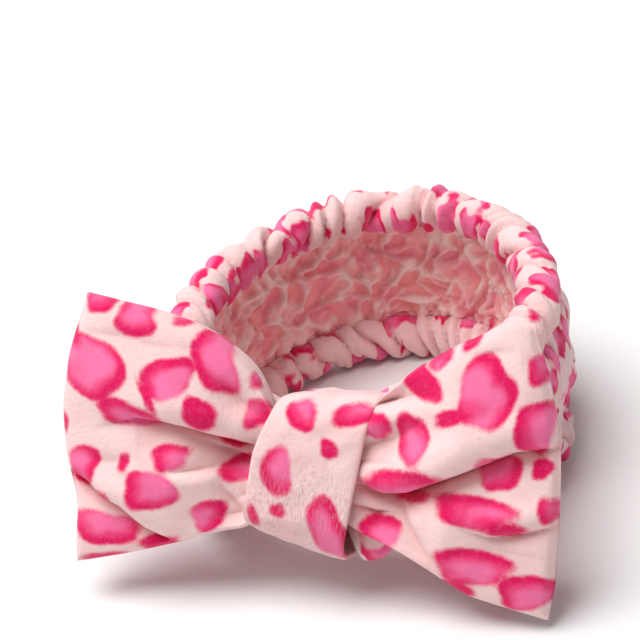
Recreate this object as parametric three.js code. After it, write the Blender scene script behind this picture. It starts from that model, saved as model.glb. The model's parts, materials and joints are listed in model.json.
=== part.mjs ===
// Spa headband: a ring of gathered plush with an elastic in each hem, and a padded bow
// held on its front by a wrapped knot.
// Millimetres, +Z up. The bow faces -Y and the headband stands on a table at z = 0.
// The origin is under the middle of the bounding box.
import * as THREE from "three";

const rad = THREE.MathUtils.degToRad;
const { smoothstep, lerp } = THREE.MathUtils;

// Driving dimensions.
const seamGap = 0.3; // air left between cloth layers that touch
const plush = 2.6; // thickness of the printed plush
const bow = {
  width: 204, // tip to tip
  height: 114, // along the outer ends
  lean: 24, // degrees, its top towards the ring
  waistHeight: 54, // where the knot squeezes it
  waistDepth: 13,
  crown: 11, // half thickness at the fullest place
  pleatDepth: 2.6, // waves that run out from the knot
  pleats: 2.5, // waves from top to bottom
  endCurve: 3, // how far the outer ends draw in at mid height
  lift: { left: 11, right: 0 }, // how far each outer end sits above level
};
const knot = { width: 48, wall: 3.2, corner: 7.5, slack: 1.1 };
const ring = {
  halfWidth: 80, // of the centreline, before the front taper
  back: 181, // centreline behind the knot
  frontTaper: 0.24, // how much the sides draw in towards the knot
  height: 86, // at the sides and back
  waistHeight: 58, // inside the knot
  waistSquash: 0.8, // thickness left inside the knot
  openMargin: 0.4, // past the knot's edge, where its cloth starts to open out
  levelAngle: 75, // degrees from the front where it stands fully on the table
  frontFlat: 1.35, // above 1, flattens the ring's line behind the bow
};
const channel = { halfDepth: 7.4, height: 19, centre: -0.6, flat: 15 }; // hem tube around each elastic
const lining = { thickness: 1, overlap: 2.6, gap: 0.6 };
const elastic = { width: 8.5, thickness: 1.2, pastSplit: 3 }; // starts that many degrees past the split
const tack = { inset: 1, angle: 3 }; // degrees along the ring at each end of an elastic
const thread = { radius: 0.5, sides: 6 };
const stationPitch = 5; // degrees between the sections of the ring's cloth
const flex = { pivotGap: 3, clearance: 0.7 }; // wing fold line outside the knot
const divide = { pastOpening: 2, rear: 132 }; // degrees where the ring's cloth divides

const lean = rad(bow.lean);
const bowHalf = bow.height / 2;
const bowCentreZ = bowHalf * Math.cos(lean) + plush;
const waistHalfDepth = bow.waistDepth / 2;
const foldLine = knot.width / 2 + flex.pivotGap; // distance of each wing's fold from the middle
const wallLine = channel.halfDepth + channel.centre; // the outer wall's middle, from the ring's line
const ringHalfDepth = (channel.halfDepth + plush / 2) * ring.waistSquash;
const bandOffset = ringHalfDepth + seamGap - channel.centre * ring.waistSquash; // band line behind the bow
const bandFront = bandOffset * Math.cos(lean);
const bowOffset = -(waistHalfDepth + seamGap); // bow line in front of the band

const material = (color, roughness) => new THREE.MeshStandardMaterial({ color, roughness, metalness: 0 });
const printedPlush = material("#f6b7cb", 0.95);
const satinBack = material("#e58f8f", 0.55);
const wadding = material("#f4f1ee", 1);
const rubberWeb = material("#f2f2f0", 0.8);
const pinkThread = material("#f7c9d4", 0.7);

// A closed skin over a stack of equal outlines, each a loop of points. Where mirrored(i) is true, the
// four-sided faces after outline i are split along their other diagonal.
function skin(loops, { closed = false, cap = [], mirrored = () => false } = {}) {
  const count = loops[0].length;
  const index = [];
  const spans = closed ? loops.length : loops.length - 1;
  for (let i = 0; i < spans; i++) {
    const a = i * count;
    const b = ((i + 1) % loops.length) * count;
    for (let j = 0; j < count; j++) {
      const k = (j + 1) % count;
      if (mirrored(i)) index.push(a + j, a + k, b + j, a + k, b + k, b + j);
      else index.push(a + j, a + k, b + k, a + j, b + k, b + j);
    }
  }
  const last = (loops.length - 1) * count;
  for (const [p, q, r] of cap) index.push(p, r, q, last + p, last + q, last + r);
  const geometry = new THREE.BufferGeometry().setFromPoints(loops.flat());
  geometry.setIndex(index);
  return facingOut(geometry);
}

// Triangles that close a flat outline, turned the same way as the outline runs.
function capOf(outline) {
  const triangles = THREE.ShapeUtils.triangulateShape(outline, []);
  const area = (points) => THREE.ShapeUtils.area(points);
  const agrees = area(outline) * area(triangles[0].map((i) => outline[i])) > 0;
  return agrees ? triangles : triangles.map(([p, q, r]) => [p, r, q]);
}

// Turns every face round if the solid came out inside out.
function facingOut(geometry) {
  const at = geometry.getAttribute("position");
  const index = geometry.index.array;
  const [a, b, c] = [new THREE.Vector3(), new THREE.Vector3(), new THREE.Vector3()];
  let volume = 0;
  for (let i = 0; i < index.length; i += 3) {
    a.fromBufferAttribute(at, index[i]);
    b.fromBufferAttribute(at, index[i + 1]);
    c.fromBufferAttribute(at, index[i + 2]);
    volume += a.dot(b.cross(c));
  }
  if (volume < 0)
    for (let i = 0; i < index.length; i += 3) [index[i], index[i + 1]] = [index[i + 1], index[i]];
  geometry.computeVertexNormals();
  return geometry;
}

function piece(name, geometry, finish) {
  const mesh = new THREE.Mesh(geometry, finish);
  mesh.name = name;
  return mesh;
}

// The ring's line in plan, at an angle in radians from the front.
function ringLine(t) {
  const front = (1 + Math.cos(t)) / 2;
  const x = ring.halfWidth * Math.sin(t) * (1 - ring.frontTaper * front * front);
  return new THREE.Vector2(x, lerp(bandFront, ring.back, Math.pow(1 - front, ring.frontFlat)));
}

// The ring's outward direction in plan.
function outward(t) {
  const step = 1e-3;
  const along = ringLine(t + step).sub(ringLine(t - step)).normalize();
  return new THREE.Vector2(along.y, -along.x);
}

// The head side of the ring's cloth in plan, where the knot squeezes it.
const headReach = (channel.halfDepth + plush / 2 - channel.centre) * ring.waistSquash;
const headLine = (t) => ringLine(t).sub(outward(t).multiplyScalar(headReach));

// Degrees from the front at which the head side of the ring is that far from the middle.
function angleAcross(distance) {
  let [low, high] = [0, 90];
  while (high - low > 1e-6) {
    const angle = (low + high) / 2;
    if (headLine(rad(angle)).x < distance) low = angle;
    else high = angle;
  }
  return low;
}
const openAngle = angleAcross(knot.width / 2 + ring.openMargin);
const split = { front: openAngle + divide.pastOpening, rear: divide.rear };

// How far the ring has opened out from the knot: 0 inside the knot, 1 where it stands on the table.
const opened = (angle) => {
  const fromFront = Math.abs(Math.atan2(Math.sin(angle), Math.cos(angle)));
  return smoothstep(fromFront, rad(openAngle), rad(ring.levelAngle));
};

// The ring's line, its outward direction and the size of its cloth at an angle from the front.
function station(angle) {
  const open = opened(angle);
  const tilt = lean * (1 - open);
  const height = lerp(ring.waistHeight, ring.height, open);
  return {
    at: ringLine(angle),
    out: outward(angle),
    tilt,
    height,
    squash: lerp(ring.waistSquash, 1, open),
    z: lerp(bowCentreZ - bandOffset * Math.sin(lean), ring.height / 2, open),
  };
}

// Places a section point: r outwards from the ring's line, h up from its middle.
function onRing(angle, r, h) {
  const s = station(angle);
  const across = r * s.squash * Math.cos(s.tilt) - h * Math.sin(s.tilt);
  const up = r * s.squash * Math.sin(s.tilt) + h * Math.cos(s.tilt);
  return new THREE.Vector3(s.at.x + s.out.x * across, s.at.y + s.out.y * across, s.z + up);
}

// The plush's middle line: a hem tube at the top, the outer wall, and a hem tube at the bottom.
function plushLine(height) {
  // From the stitched edge, round the head side and over a short flat, to the outer wall.
  const turns = [292, 255, 218, 180, 142, 90 + channel.flat, 90 - channel.flat, 38, 0].map(rad);
  const half = (channel.height - plush) / 2 / Math.cos(rad(channel.flat));
  const centre = (height - channel.height) / 2;
  const tube = turns.map((t) => [
    channel.centre + channel.halfDepth * Math.cos(t),
    centre + half * Math.sin(t),
  ]);
  const top = tube.map(([x, y]) => new THREE.Vector2(x, y));
  const bottom = tube.map(([x, y]) => new THREE.Vector2(x, -y)).reverse();
  return [...top, ...bottom];
}

// A strip of cloth of even thickness along a line, as a closed outline.
function strip(line, thickness) {
  const side = (sign) =>
    line.map((p, i) => {
      const before = line[Math.max(i - 1, 0)];
      const after = line[Math.min(i + 1, line.length - 1)];
      const along = after.clone().sub(before).normalize();
      const turn = turnAt(before, p, after);
      const reach = (sign * thickness) / 2 / turn;
      return new THREE.Vector2(p.x - along.y * reach, p.y + along.x * reach);
    });
  return [...side(1), ...side(-1).reverse()];
}

// Cosine of half the bend at p, so a strip keeps its thickness round it.
function turnAt(before, p, after) {
  const a = p.clone().sub(before);
  const b = after.clone().sub(p);
  if (a.length() < 1e-6 || b.length() < 1e-6) return 1;
  return Math.cos(Math.abs(a.angleTo(b)) / 2);
}

// Angles to place sections at: the two ends, and the ring's shared stations between them.
function steps(from, to) {
  const angles = [from];
  for (let a = Math.ceil(from / stationPitch) * stationPitch; a < to; a += stationPitch)
    if (a - from > 0.8 && to - a > 0.8) angles.push(a);
  return [...angles, to].map(rad);
}

// Sweeps an outline, given for each section height, round the ring between two angles.
function roundRing(name, outline, from, to, finish) {
  const stops = steps(from, to);
  const loops = stops.map((t) => outline(station(t).height).map((p) => onRing(t, p.x, p.y)));
  const mirrored = (i) => Math.sin((stops[i] + stops[i + 1]) / 2) < 0; // the left half
  return piece(name, skin(loops, { cap: capOf(outline(ring.height)), mirrored }), finish);
}

// The ring's cloth in its four lengths: at the front, along each side and at the rear.
const gapAngle = THREE.MathUtils.radToDeg(seamGap / ring.halfWidth) / 2;
const lengths = {
  front: [-split.front + gapAngle, split.front - gapAngle],
  right: [split.front + gapAngle, split.rear - gapAngle],
  rear: [split.rear + gapAngle, 360 - split.rear - gapAngle],
  left: [-split.rear + gapAngle, -split.front - gapAngle],
};

const plushOutline = (height) => strip(plushLine(height), plush);

const liningLine = wallLine - plush / 2 - lining.gap - lining.thickness / 2;
function liningOutline(height) {
  const half = height / 2 - channel.height + lining.overlap;
  const r = lining.thickness / 2;
  return rectangle(liningLine, 0, r, half);
}

function rectangle(x, y, halfX, halfY) {
  return [
    new THREE.Vector2(x - halfX, y - halfY),
    new THREE.Vector2(x + halfX, y - halfY),
    new THREE.Vector2(x + halfX, y + halfY),
    new THREE.Vector2(x - halfX, y + halfY),
  ];
}

// The elastic lies against the head side of its hem tube.
const tubeInside = channel.halfDepth - plush / 2;
const tubeHalf = channel.height / 2 - plush;
const elasticReach = tubeInside * Math.sqrt(1 - (elastic.width / 2 / tubeHalf) ** 2);
const elasticLine = channel.centre - elasticReach + elastic.thickness / 2 + seamGap * 2;
const hemMiddle = (height) => height / 2 - channel.height / 2;
const elasticOutline = (side) => (height) =>
  rectangle(elasticLine, side * hemMiddle(height), elastic.thickness / 2, elastic.width / 2);

// Bar tack that holds an elastic's end, on the side away from the head.
const tackLine = elasticLine + elastic.thickness / 2 + seamGap + thread.radius;
const tackOutline = (side) => (height) =>
  rectangle(tackLine, side * hemMiddle(height), thread.radius, elastic.width / 2 - 1);

// The seam that closes each hem, on the lining just inside the hem's edge.
const hemThreadLine = liningLine - lining.thickness / 2 - seamGap - thread.radius;
const hemThreadDrop = channel.height + plush / 2 + seamGap;
const hemThreadOutline = (side) => (height) =>
  Array.from({ length: thread.sides }, (_, i) => {
    const turn = (i / thread.sides) * 2 * Math.PI;
    return new THREE.Vector2(
      hemThreadLine + thread.radius * Math.cos(turn),
      side * (height / 2 - hemThreadDrop) + thread.radius * Math.sin(turn),
    );
  });

function bandPieces() {
  const made = [];
  for (const [place, [from, to]] of Object.entries(lengths)) {
    made.push(roundRing(`plush_${place}`, plushOutline, from, to, printedPlush));
    made.push(roundRing(`lining_${place}`, liningOutline, from, to, satinBack));
  }
  const from = split.front + elastic.pastSplit;
  const to = 360 - from;
  for (const [edge, side] of [["top", 1], ["bottom", -1]]) {
    made.push(roundRing(`${edge}_elastic`, elasticOutline(side), from, to, rubberWeb));
    made.push(roundRing(`${edge}_hem_thread`, hemThreadOutline(side), from, to, pinkThread));
    const barTack = (end, a) =>
      roundRing(`${edge}_elastic_tack_${end}`, tackOutline(side), a, a + tack.angle, pinkThread);
    made.push(barTack("right", from + tack.inset));
    made.push(barTack("left", to - tack.inset - tack.angle));
  }
  return made;
}

// Bow pieces are drawn flat, with x across, y back and z up, then leaned back together.

// Half the wing's height, from the fold line (0) to the outer end (1).
const wingHalf = (u) => lerp(bow.waistHeight / 2, bowHalf, Math.pow(Math.sin((Math.PI / 2) * u), 0.85));

// Half the wing's thickness: the waist's at the fold line, full in the middle, a thin seam at the edge.
function wingDepth(u, v) {
  const seam = plush + seamGap / 2;
  const end = Math.sqrt(1 - u ** 4);
  const side = lerp(1, Math.sqrt(1 - Math.abs(v) ** 3), smoothstep(u, 0, 0.3));
  const middle = lerp(waistHalfDepth, bow.crown, smoothstep(u, 0, 0.45));
  return seam + (middle - seam) * end * side;
}

// How far the pleats push the wing forwards.
const wingWave = (u, v) =>
  bow.pleatDepth * Math.sin(Math.PI * Math.min(1, u * 1.1)) * Math.cos(Math.PI * bow.pleats * v + 0.6);

const wingColumns = 13;
const wingRows = 14;

// A layer of a wing between two depths, each a function of the wing's half thickness.
// trim leaves out that many cells of the grid along the outer seams.
function wingLayer(name, side, near, far, finish, trim = 0) {
  const lift = side < 0 ? bow.lift.left : bow.lift.right;
  const endRadius = waistHalfDepth + flex.clearance;
  // The plush's inner end is hollowed to turn round the waist's rounded end; the wadding stops before it.
  const wrap = (y) => Math.sqrt(endRadius ** 2 - Math.min(Math.abs(y), endRadius * 0.92) ** 2);
  const rootAt = (y) => foldLine + (trim ? endRadius : wrap(y));
  const grid = (depth) => {
    const points = [];
    for (let i = 0; i <= wingColumns - trim; i++) {
      const u = i / wingColumns;
      for (let j = trim; j <= wingRows - trim; j++) {
        const v = (j / wingRows) * 2 - 1;
        const y = depth(wingDepth(u, v)) + wingWave(u, v);
        const x = i === 0 ? rootAt(y) : lerp(foldLine + endRadius, wingEnd(v), u);
        points.push(new THREE.Vector3(side * x, bowOffset - y, v * wingHalf(u) + lift * u));
      }
    }
    return points;
  };
  const layout = [wingColumns - trim, wingRows - 2 * trim];
  return piece(name, slab(grid(near), grid(far), ...layout), finish);
}

// The outer end is drawn in a little at mid height.
const wingEnd = (v) => bow.width / 2 - bow.endCurve * Math.cos((Math.PI / 2) * v);

// A closed slab between two grids of points with the same layout.
function slab(front, back, columns, rows) {
  const index = [];
  const at = (i, j) => i * (rows + 1) + j;
  const offset = front.length;
  const quad = (a, b, c, d) => index.push(a, b, c, a, c, d);
  for (let i = 0; i < columns; i++)
    for (let j = 0; j < rows; j++) {
      quad(at(i, j), at(i + 1, j), at(i + 1, j + 1), at(i, j + 1));
      quad(...[at(i, j), at(i, j + 1), at(i + 1, j + 1), at(i + 1, j)].map((k) => k + offset));
    }
  const rim = [];
  for (let i = 0; i < columns; i++) rim.push(at(i, 0));
  for (let j = 0; j < rows; j++) rim.push(at(columns, j));
  for (let i = columns; i > 0; i--) rim.push(at(i, rows));
  for (let j = rows; j > 0; j--) rim.push(at(0, j));
  rim.forEach((a, i) => {
    const b = rim[(i + 1) % rim.length];
    quad(b, a, a + offset, b + offset);
  });
  const geometry = new THREE.BufferGeometry().setFromPoints([...front, ...back]);
  geometry.setIndex(index);
  return facingOut(geometry);
}

function wing(label, side) {
  const inner = (depth) => Math.max(depth - plush, seamGap / 2);
  const core = (depth) => depth - plush - seamGap;
  return [
    wingLayer(`${label}_wing_front`, side, (d) => d, inner, printedPlush),
    wingLayer(`${label}_wing_back`, side, (d) => -inner(d), (d) => -d, printedPlush),
    wingLayer(`${label}_wing_wadding`, side, core, (d) => -core(d), wadding, 1),
  ];
}

// Rounded rectangle in the y-z plane, as points.
function roundedLoop(halfY, halfZ, corner, perCorner = 5) {
  const points = [];
  for (const [cy, cz, start] of [[1, 1, 0], [-1, 1, 90], [-1, -1, 180], [1, -1, 270]])
    for (let i = 0; i < perCorner; i++) {
      const turn = rad(start + (90 * i) / (perCorner - 1));
      points.push([
        cy * (halfY - corner) + corner * Math.cos(turn),
        cz * (halfZ - corner) + corner * Math.sin(turn),
      ]);
    }
  return points;
}

// The squeezed middle of the bow, drawn in by its gathering thread.
const groove = { halfWidth: 3, slope: 2, depth: 1.8, corner: 3.6 };
function waist() {
  const across = [];
  const ends = 4;
  for (let i = 0; i <= ends; i++) {
    const turn = rad(lerp(90, 12, i / ends));
    across.push([foldLine + waistHalfDepth * Math.cos(turn), Math.sin(turn)]);
  }
  const profile = [[0, 1, 1], [groove.halfWidth, 1, 1], [groove.halfWidth + groove.slope, 1, 0]];
  const right = [...profile, ...across.map(([x, share]) => [x, share, 0])];
  const left = right.slice(1).reverse().map(([x, share, cut]) => [-x, share, cut]);
  const loops = [...left, ...right].map(([x, share, cut]) => {
    const halfY = waistHalfDepth * share - cut * groove.depth;
    const halfZ = bow.waistHeight / 2 - cut * groove.depth;
    return roundedLoop(halfY, halfZ, halfY * 0.9).map(
      ([y, z]) => new THREE.Vector3(x, bowOffset + y, z),
    );
  });
  const flat = loops[0].map((p) => new THREE.Vector2(p.y, p.z));
  return piece("bow_waist", skin(loops, { cap: capOf(flat) }), printedPlush);
}

// Turns of strong thread in the waist's groove.
function gatherThread() {
  const wire = thread.radius * 2;
  const inside = [waistHalfDepth - groove.depth + seamGap, bow.waistHeight / 2 - groove.depth + seamGap];
  const loops = [-1, 1].flatMap((end) => {
    const x = end * (groove.halfWidth - 0.4);
    const layer = (grow) =>
      roundedLoop(inside[0] + grow, inside[1] + grow, groove.corner + grow).map(
        ([y, z]) => new THREE.Vector3(x, bowOffset + y, z),
      );
    return end < 0 ? [layer(0), layer(wire)] : [layer(wire), layer(0)];
  });
  return piece("gathering_thread", skin(loops, { closed: true }), pinkThread);
}

// The knot: a strip of plush wrapped round the bow's waist and the band.
const knotFront = bowOffset - waistHalfDepth - seamGap;
const bandCurve = headLine(rad(openAngle)).y - headLine(0).y; // the band's bend back inside the knot
const knotBack = bandOffset + ringHalfDepth - channel.centre * ring.waistSquash + bandCurve + knot.slack;
const knotMiddle = (knotFront + knotBack) / 2;
const knotInside = {
  halfY: (knotBack - knotFront) / 2,
  halfZ: Math.max(bow.waistHeight, ring.waistHeight) / 2 + seamGap + bandCurve * Math.sin(lean),
};
function knotWrap() {
  const half = knot.width / 2;
  const edge = knot.wall / 2;
  const layer = (x, grow) =>
    roundedLoop(knotInside.halfY + grow, knotInside.halfZ + grow, knot.corner + grow, 6).map(
      ([y, z]) => new THREE.Vector3(x, knotMiddle + y, z),
    );
  const loops = [
    layer(-half + edge, 0),
    layer(-half, edge),
    layer(-half + edge, knot.wall),
    layer(0, knot.wall + 0.8),
    layer(half - edge, knot.wall),
    layer(half, edge),
    layer(half - edge, 0),
  ];
  return piece("knot_wrap", skin(loops, { closed: true }), printedPlush);
}

// Slip stitches that close the wrap behind the band.
function knotSeam() {
  const y = knotMiddle + knotInside.halfY + knot.wall + 0.8 + seamGap + thread.radius;
  const length = knotInside.halfZ * 1.3;
  const stitches = 10;
  const points = Array.from(
    { length: stitches + 1 },
    (_, i) => new THREE.Vector3((i % 2 ? 1 : -1) * 1.2, y, lerp(-length / 2, length / 2, i / stitches)),
  );
  const section = new THREE.Shape(
    Array.from({ length: thread.sides }, (_, i) => {
      const turn = (i / thread.sides) * 2 * Math.PI;
      return new THREE.Vector2(thread.radius * Math.cos(turn), thread.radius * Math.sin(turn));
    }),
  );
  const path = new THREE.CatmullRomCurve3(points);
  const geometry = new THREE.ExtrudeGeometry(section, { steps: stitches * 3, extrudePath: path });
  return piece("knot_seam_thread", geometry, pinkThread);
}

const bowGroup = new THREE.Group();
bowGroup.add(...wing("left", -1), ...wing("right", 1), waist(), gatherThread(), knotWrap(), knotSeam());
bowGroup.rotation.x = -lean;
bowGroup.position.z = bowCentreZ;

const headband = new THREE.Group();
headband.add(bowGroup, ...bandPieces());

// The origin goes under the middle of the bounding box, on the table.
const model = new THREE.Group();
model.add(headband);
model.updateMatrixWorld(true);
const bounds = new THREE.Box3().setFromObject(headband, true);
const middle = bounds.getCenter(new THREE.Vector3());
headband.position.set(-middle.x, -middle.y, -bounds.min.z);

export default model;
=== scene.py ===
import json
import math
import bpy
import numpy as np
from mathutils import Matrix, Vector


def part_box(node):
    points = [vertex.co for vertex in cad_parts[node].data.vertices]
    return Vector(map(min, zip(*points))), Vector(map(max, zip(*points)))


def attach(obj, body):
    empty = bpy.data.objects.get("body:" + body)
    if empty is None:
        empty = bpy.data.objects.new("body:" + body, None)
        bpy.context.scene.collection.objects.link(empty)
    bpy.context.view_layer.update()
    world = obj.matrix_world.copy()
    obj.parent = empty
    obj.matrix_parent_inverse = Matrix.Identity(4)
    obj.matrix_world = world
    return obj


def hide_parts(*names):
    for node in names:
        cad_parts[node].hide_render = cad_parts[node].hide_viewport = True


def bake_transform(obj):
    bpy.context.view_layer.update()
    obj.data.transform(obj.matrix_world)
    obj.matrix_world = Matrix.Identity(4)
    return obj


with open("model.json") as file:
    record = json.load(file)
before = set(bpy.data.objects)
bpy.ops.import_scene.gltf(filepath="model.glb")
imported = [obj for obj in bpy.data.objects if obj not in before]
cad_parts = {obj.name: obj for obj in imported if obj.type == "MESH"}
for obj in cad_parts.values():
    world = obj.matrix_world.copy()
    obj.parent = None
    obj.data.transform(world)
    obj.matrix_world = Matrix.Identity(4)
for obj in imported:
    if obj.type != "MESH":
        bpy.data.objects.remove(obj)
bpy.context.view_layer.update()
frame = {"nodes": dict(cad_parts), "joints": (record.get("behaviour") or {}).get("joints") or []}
mm = 0.001
print("frame loaded")

# The bow's own directions come from the left wing's hinge: it stands on the bow's middle line.
hinge = next(j for j in frame["joints"] if j["name"] == "left_wing_flex")
bowUp = np.array(hinge["axis"])
bowOut = np.array([0, -bowUp[2], bowUp[1]])
bowMiddle = np.array([0, hinge["pos_m"][1], hinge["pos_m"][2]]) / mm
lean = math.atan2(bowUp[1], bowUp[2])


def inBow(across, up, out):
    # places on the bow, in millimetres of the row frame
    across, up, out = np.broadcast_arrays(across, up, out)
    sideways = np.array([1.0, 0, 0])
    return bowMiddle + across[..., None] * sideways + up[..., None] * bowUp + out[..., None] * bowOut


def fromBow(points):
    # the same, the other way round: across, up and out of places in the row frame
    away = points - bowMiddle
    return away[..., 0], away @ bowUp, away @ bowOut


def smooth(value, low, high):
    t = np.clip((value - low) / (high - low), 0, 1)
    return t * t * (3 - 2 * t)


def ripple(seed, places, size, waves=8):
    # a smooth random field, mostly between -1 and 1, with bumps about that size
    draw = np.random.default_rng(seed)
    total = 0
    for _ in range(waves):
        way = draw.normal(size=places.shape[-1])
        way /= np.linalg.norm(way)
        reach = size * draw.uniform(0.7, 1.7)
        total = total + np.sin(places @ way * 2 * np.pi / reach + draw.uniform(0, 2 * np.pi))
    return total / np.sqrt(waves)


def meshPiece(name, points, faces, finish, fields=None):
    mesh = bpy.data.meshes.new(name)
    mesh.from_pydata((points.reshape(-1, 3) * mm).tolist(), [], faces)
    mesh.validate()
    mesh.shade_smooth()
    mesh.materials.append(finish)
    for label, values in (fields or {}).items():
        kept = mesh.attributes.new(label, "FLOAT", "POINT")
        kept.data.foreach_set("value", values.astype(np.float32).ravel())
    piece = bpy.data.objects.new(name, mesh)
    bpy.context.scene.collection.objects.link(piece)
    return piece


def gridFaces(columns, rows, closeColumns=False, closeRows=False):
    # faces of a grid whose points run row by row within each column
    i = np.arange(columns if closeColumns else columns - 1)[:, None]
    j = np.arange(rows if closeRows else rows - 1)[None, :]
    nextI, nextJ = (i + 1) % columns, (j + 1) % rows
    quads = np.stack([i * rows + j, nextI * rows + j, nextI * rows + nextJ, i * rows + nextJ], -1)
    return quads.reshape(-1, 4).tolist()


# ---- camera

cameraSet = {
    "azimuth": 19.3,  # degrees round to the right
    "elevation": 31,
    "roll": -8,
    "distance": 1.115,
    "lens": 147,
    "looksAt": (0, -0.028, 0.05),
    "aside": 0.64,  # degrees that the view turns left, so the bow sits right of the middle
    "above": 1.89,  # degrees that it turns up
}


def makeCamera(c):
    data = bpy.data.cameras.new("camera")
    camera = bpy.data.objects.new("camera", data)
    bpy.context.scene.collection.objects.link(camera)
    bpy.context.scene.camera = camera
    turn, rise = math.radians(c["azimuth"]), math.radians(c["elevation"])
    away = Vector((math.sin(turn) * math.cos(rise), -math.cos(turn) * math.cos(rise), math.sin(rise)))
    aim = away.to_track_quat("Z", "Y").to_matrix().to_4x4()
    aim = aim @ Matrix.Rotation(math.radians(c["roll"]), 4, "Z")
    aim = aim @ Matrix.Rotation(math.radians(c["aside"]), 4, "Y")
    aim = aim @ Matrix.Rotation(math.radians(c["above"]), 4, "X")
    camera.location = Vector(c["looksAt"]) + away * c["distance"]
    camera.rotation_mode = "QUATERNION"
    camera.rotation_quaternion = aim.to_quaternion()
    data.lens = c["lens"]
    data.clip_end = 20


makeCamera(cameraSet)

# ---- light and floor

lightSet = {
    "sky": 0.31,
    "backdrop": 1,  # what is seen behind the floor
    "top": {"place": (-0.34, -0.1, 1.1), "spread": 45, "power": 3.35},
    "front": {"place": (-0.6, -1.1, 0.8), "spread": 30, "power": 0.12},
}


def studioLight(c):
    look = bpy.context.scene.view_settings
    look.view_transform = "Standard"
    look.exposure = 0
    sky = bpy.data.worlds.new("sky")
    sky.use_nodes = True
    nodes, links = sky.node_tree.nodes, sky.node_tree.links
    glow = nodes["Background"]
    glow.inputs["Color"].default_value = (1, 0.985, 0.98, 1)
    glow.inputs["Strength"].default_value = c["sky"]
    backdrop = nodes.new("ShaderNodeBackground")
    backdrop.inputs["Color"].default_value = (1, 1, 1, 1)
    backdrop.inputs["Strength"].default_value = c["backdrop"]
    either = nodes.new("ShaderNodeMixShader")
    links.new(nodes.new("ShaderNodeLightPath").outputs["Is Camera Ray"], either.inputs[0])
    links.new(glow.outputs[0], either.inputs[1])
    links.new(backdrop.outputs[0], either.inputs[2])
    links.new(either.outputs[0], nodes["World Output"].inputs["Surface"])
    bpy.context.scene.world = sky
    for name in ("top", "front"):
        lamp = bpy.data.lights.new(name + "_light", "SUN")
        lamp.angle = math.radians(c[name]["spread"])
        lamp.energy = c[name]["power"]
        holder = bpy.data.objects.new(name + "_light", lamp)
        holder.location = c[name]["place"]
        aim = Vector((0, 0, 0.05)) - holder.location
        holder.rotation_euler = aim.to_track_quat("-Z", "Y").to_euler()
        bpy.context.scene.collection.objects.link(holder)


studioLight(lightSet)
print("camera and light")

# ---- finishes


class Amount:
    # a socket that Python arithmetic can be done on
    def __init__(self, finish, socket):
        self.finish, self.socket = finish, socket

    def math(self, operation, *others, clamp=False):
        inputs = {i: o for i, o in enumerate((self, *others))}
        return self.finish.node("ShaderNodeMath", {"operation": operation, "use_clamp": clamp}, inputs)

    def __add__(self, other):
        return self.math("ADD", other)

    def __sub__(self, other):
        return self.math("SUBTRACT", other)

    def __rsub__(self, other):
        return (self * -1).math("ADD", other)

    def __mul__(self, other):
        return self.math("MULTIPLY", other)

    __radd__ = __add__
    __rmul__ = __mul__

    def between(self, low, high):
        # 0 below low, 1 above high, smooth between
        settings = {"interpolation_type": "SMOOTHSTEP"}
        sockets = {"Value": self, "From Min": low, "From Max": high}
        return self.finish.node("ShaderNodeMapRange", settings, sockets)


class Finish:
    def __init__(self, name, **constants):
        self.material = bpy.data.materials.new(name)
        self.material.use_nodes = True
        self.tree = self.material.node_tree
        self.shader = self.tree.nodes["Principled BSDF"]
        for label, value in constants.items():
            self.shader.inputs[label.replace("_", " ")].default_value = value

    def node(self, kind, settings=None, sockets=None, out=0):
        made = self.tree.nodes.new(kind)
        for label, value in (settings or {}).items():
            setattr(made, label, value)
        for label, value in (sockets or {}).items():
            if isinstance(value, Amount):
                self.tree.links.new(value.socket, made.inputs[label])
            else:
                made.inputs[label].default_value = value
        return Amount(self, made.outputs[out])

    def place(self):
        return self.node("ShaderNodeTexCoord", out="Object")

    def field(self, label):
        return self.node("ShaderNodeAttribute", {"attribute_name": label}, out="Fac")

    def noise(self, scale, detail=2.0, rough=0.5, place=None, distortion=0.0):
        sockets = {"Vector": place or self.place(), "Scale": scale, "Detail": detail}
        sockets |= {"Roughness": rough, "Distortion": distortion}
        return self.node("ShaderNodeTexNoise", None, sockets)

    def mix(self, share, first, second, blend="MIX"):
        sockets = {0: share, 6: first, 7: second}
        return self.node("ShaderNodeMix", {"data_type": "RGBA", "blend_type": blend}, sockets, out=2)

    def bump(self, height, strength, distance, before=None):
        sockets = {"Height": height, "Strength": strength, "Distance": distance}
        if before:
            sockets["Normal"] = before
        return self.node("ShaderNodeBump", None, sockets, out="Normal")

    def feed(self, **sockets):
        for label, value in sockets.items():
            self.tree.links.new(value.socket, self.shader.inputs[label.replace("_", " ")])
        return self.material


def tint(red, green, blue):
    return (red, green, blue, 1)


plushLook = {
    "ground": tint(0.89, 0.64, 0.63),
    "groundWarm": tint(0.88, 0.53, 0.53),
    "spot": tint(0.83, 0.04, 0.18),
    "spotLight": tint(0.9, 0.17, 0.37),
    "rim": tint(0.74, 0.001, 0.105),
    # painted shade tint, multiplied into the colour deep in folds
    "fold": tint(0.9, 0.5, 0.53),
}


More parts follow.
